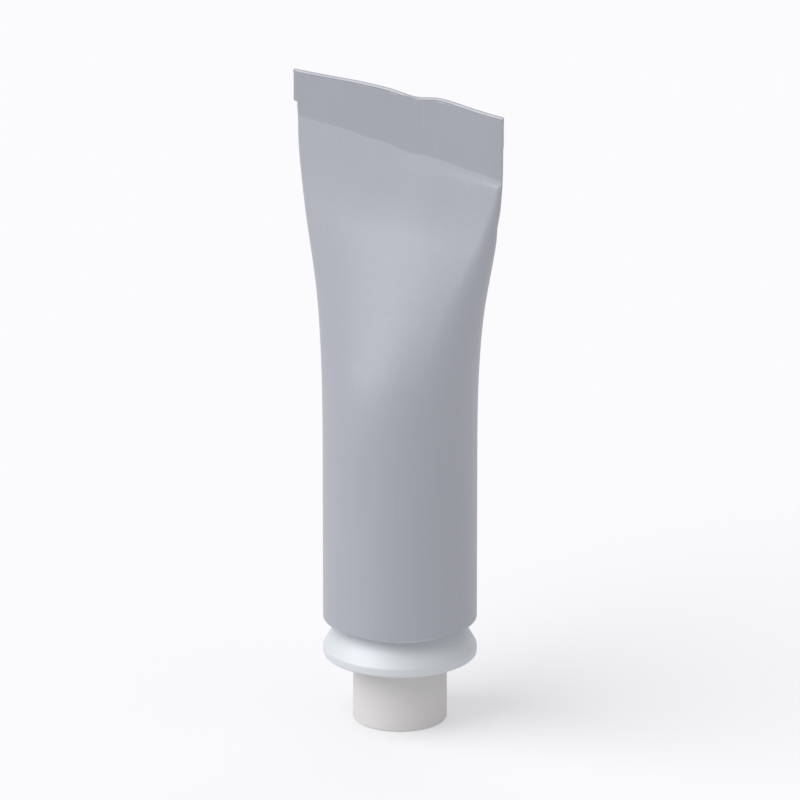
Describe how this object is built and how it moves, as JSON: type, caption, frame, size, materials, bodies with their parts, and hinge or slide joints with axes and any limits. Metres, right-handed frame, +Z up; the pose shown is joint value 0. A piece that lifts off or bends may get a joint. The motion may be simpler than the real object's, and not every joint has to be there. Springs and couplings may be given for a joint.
{
  "type": "aluminium squeeze tube",
  "caption": "Filled aluminium squeeze tube with a folded flat tail, a bare shoulder ring over a groove, and a screw cap that it stands on.",
  "frame": {"origin": "centre of the cap's flat end, on the surface that the tube stands on", "axes": "+Z up along the tube's axis from the cap to the folded tail; X along the fold; the fold is turned over towards +Y"},
  "size_m": [0.0578, 0.035, 0.1486],
  "materials": {
    "tube_aluminium": "satin",
    "cap_plastic": "matte",
    "liner_foam": "matte"
  },
  "bodies": {
    "tube_body": {"tube": "tube_aluminium"},
    "liner_body": {"cap_liner": "liner_foam"},
    "cap_body": {"cap": "cap_plastic"}
  },
  "joints": [
    {"name": "cap_turn", "type": "hinge", "parent": "cap_body", "child": "liner_body", "pos_m": [0, 0, 0.0073], "axis": [0, 0, 1], "range_deg": [0, 1800]},
    {"name": "cap_travel", "type": "slide", "parent": "liner_body", "child": "tube_body", "axis": [0, 0, 1], "range_m": [0, 0.0125]}
  ],
  "couplings": [
    {"joint": "cap_travel", "follows": "cap_turn", "m_per_rad": 0.00039789}
  ]
}
